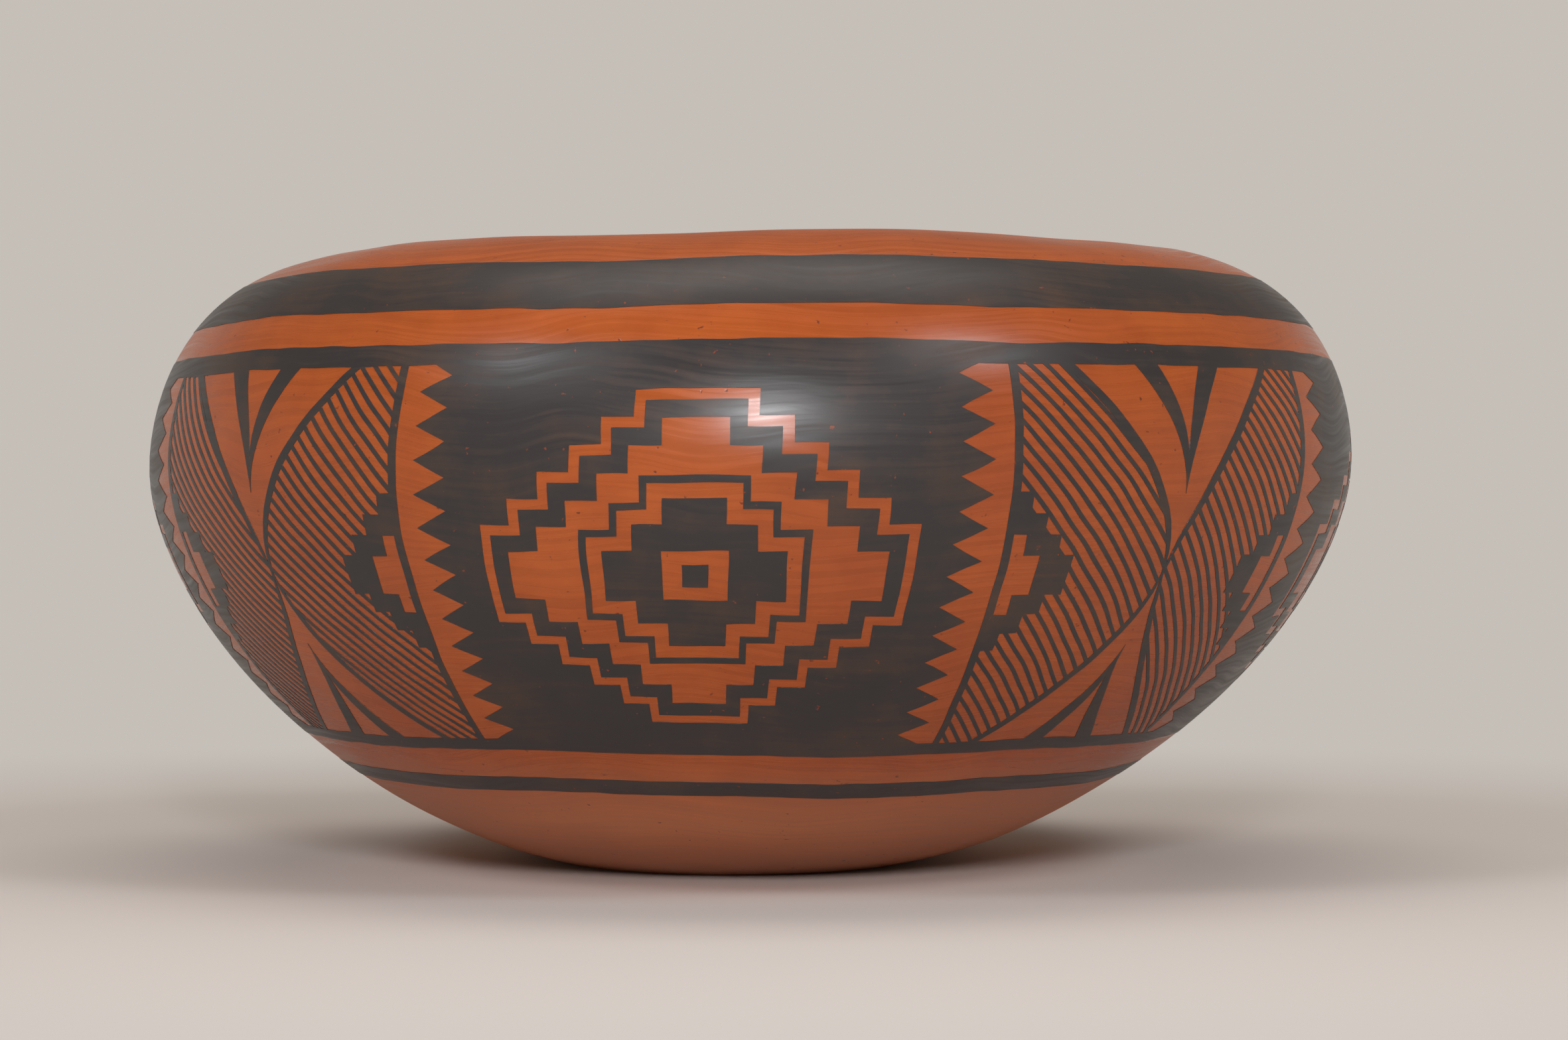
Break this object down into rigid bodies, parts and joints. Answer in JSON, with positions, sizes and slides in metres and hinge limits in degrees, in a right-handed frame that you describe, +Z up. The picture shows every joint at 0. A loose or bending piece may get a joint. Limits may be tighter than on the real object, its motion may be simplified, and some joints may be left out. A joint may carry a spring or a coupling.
{
  "type": "pottery bowl",
  "caption": "Wide, low, round-bellied earthenware bowl with a drawn-in rounded rim, coil-built, burnished and painted with encircling bands.",
  "frame": {"origin": "centre of the flat face that the bowl stands on", "axes": "+Z up along the bowl's axis; X and Y lie on the table, and the bowl is round about Z"},
  "size_m": [0.2, 0.2, 0.1004],
  "materials": {
    "foot_slip": "bare red slip, stone-burnished to a soft sheen, scuffed underneath",
    "painted_wall": "orange-red slip burnished to a satin gloss, about half covered by dark brown-black mineral paint",
    "dark_band": "dark brown-black mineral paint burnished to a satin gloss",
    "rim_slip": "orange-red slip burnished to a satin gloss"
  },
  "bodies": {
    "root": {"base_pat": "foot_slip", "wall_coil_1": "painted_wall", "wall_coil_2": "painted_wall", "wall_coil_3": "painted_wall", "wall_coil_4": "painted_wall", "wall_coil_5": "painted_wall", "wall_coil_6": "dark_band", "rim_coil": "rim_slip"}
  },
  "joints": []
}
